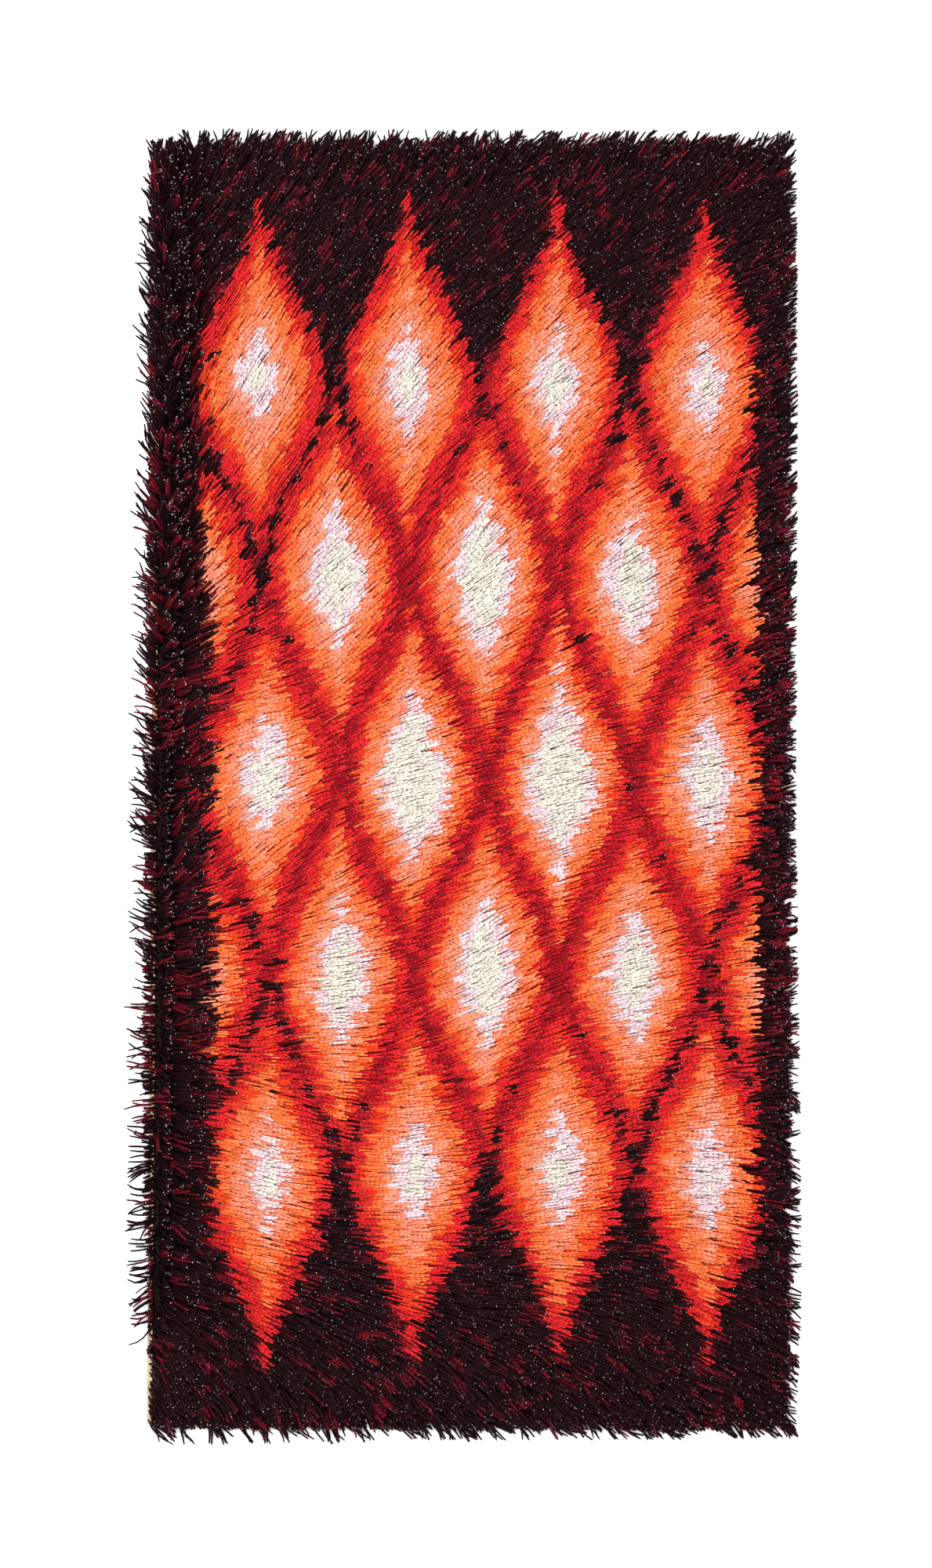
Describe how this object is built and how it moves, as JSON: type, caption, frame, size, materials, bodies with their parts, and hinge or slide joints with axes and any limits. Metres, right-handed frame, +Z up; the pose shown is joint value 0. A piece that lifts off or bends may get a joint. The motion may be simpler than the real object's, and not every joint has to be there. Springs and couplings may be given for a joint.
{
  "type": "rya rug",
  "caption": "Rectangular shaggy wool rug, a long knotted pile lying over a flat woven ground cloth, with a lattice of graded lozenges on a dark ground.",
  "frame": {"origin": "middle of the ground cloth's flat underside, which lies on the floor", "axes": "+Z up through the pile, +Y along the rug's length towards the end where the pile fans up, +X across it, the way the pile leans"},
  "size_m": [0.7372, 1.4492, 0.0315],
  "materials": {
    "backing_cloth": "matt beige ribbed woven wool and linen",
    "pile_wool": "soft two-ply wool yarn with a faint sheen, near-black aubergine with red, orange, peach, pink and ivory"
  },
  "bodies": {
    "root": {"backing": "backing_cloth", "pile": "pile_wool"}
  },
  "joints": []
}
